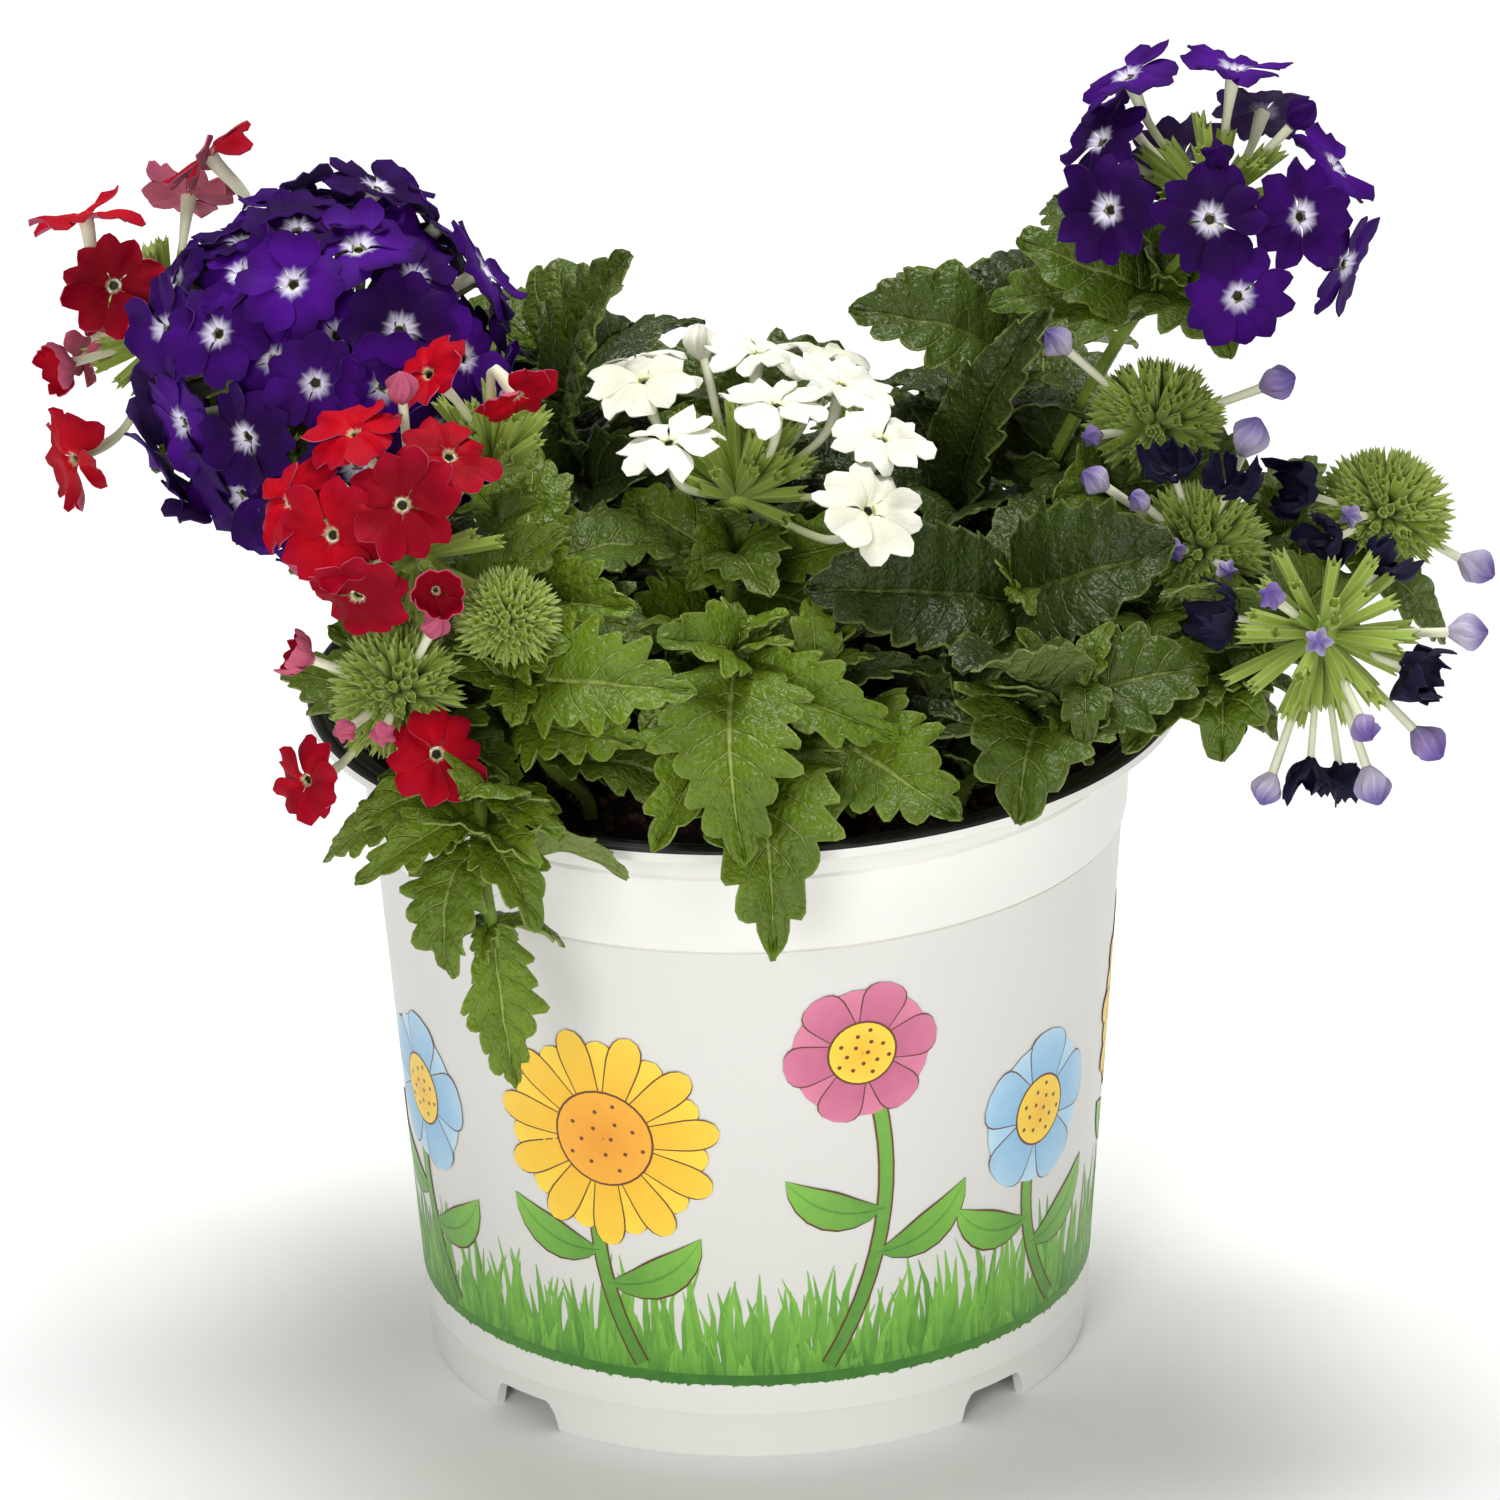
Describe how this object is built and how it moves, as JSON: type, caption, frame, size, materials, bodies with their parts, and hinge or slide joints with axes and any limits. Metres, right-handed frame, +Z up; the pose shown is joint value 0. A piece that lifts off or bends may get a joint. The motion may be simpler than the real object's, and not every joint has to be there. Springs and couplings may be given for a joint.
{
  "type": "potted verbena plant",
  "caption": "Mixed purple, red and white verbena with round flower heads and toothed leaves, planted in a tapered round nursery pot.",
  "frame": {"origin": "centre of the pot's underside, on the surface it stands on", "axes": "+Z up along the pot's axis; -Y towards the side seen in the picture, +X to its right"},
  "size_m": [0.3156, 0.222, 0.2904],
  "materials": {
    "pot_plastic": "satin white outside, black inside",
    "compost": "matt, crumbly, moist",
    "leaf_green": "crinkled, softly hairy",
    "petal_purple": "velvety",
    "petal_red": "velvety",
    "petal_white": "soft matt",
    "petal_spent": "soft matt",
    "calyx_green": "softly hairy"
  },
  "bodies": {
    "root": {"pot": "pot_plastic", "soil": "compost", "stem_white": "leaf_green", "stem_purple_left": "leaf_green", "stem_red_far_left": "leaf_green", "stem_red_front": "leaf_green", "stem_red_upper": "leaf_green", "stem_red_low": "leaf_green", "stem_green_bud_left": "leaf_green", "stem_trailing_left": "leaf_green", "stem_front_centre": "leaf_green", "stem_front_right": "leaf_green", "stem_right_mid": "leaf_green", "stem_right_low": "leaf_green", "stem_spent_right": "leaf_green", "stem_arch_left": "leaf_green", "stem_arch_right": "leaf_green", "stem_purple_right": "leaf_green", "stem_bud_right_upper": "leaf_green", "stem_bud_right_mid": "leaf_green", "stem_bud_right_outer": "leaf_green", "stem_back_left": "leaf_green", "stem_back_centre": "leaf_green", "stem_back_right": "leaf_green", "bloom_purple_left": "petal_purple", "bloom_red_far_left": "petal_red", "bloom_red_front": "petal_red", "bloom_red_upper": "petal_red", "bloom_red_low": "petal_red", "bloom_green_bud_left": "calyx_green", "bloom_white": "petal_white", "bloom_purple_right": "petal_purple", "bloom_bud_right_upper": "calyx_green", "bloom_bud_right_mid": "calyx_green", "bloom_bud_right_outer": "calyx_green", "bloom_spent_right": "petal_spent"}
  },
  "joints": []
}
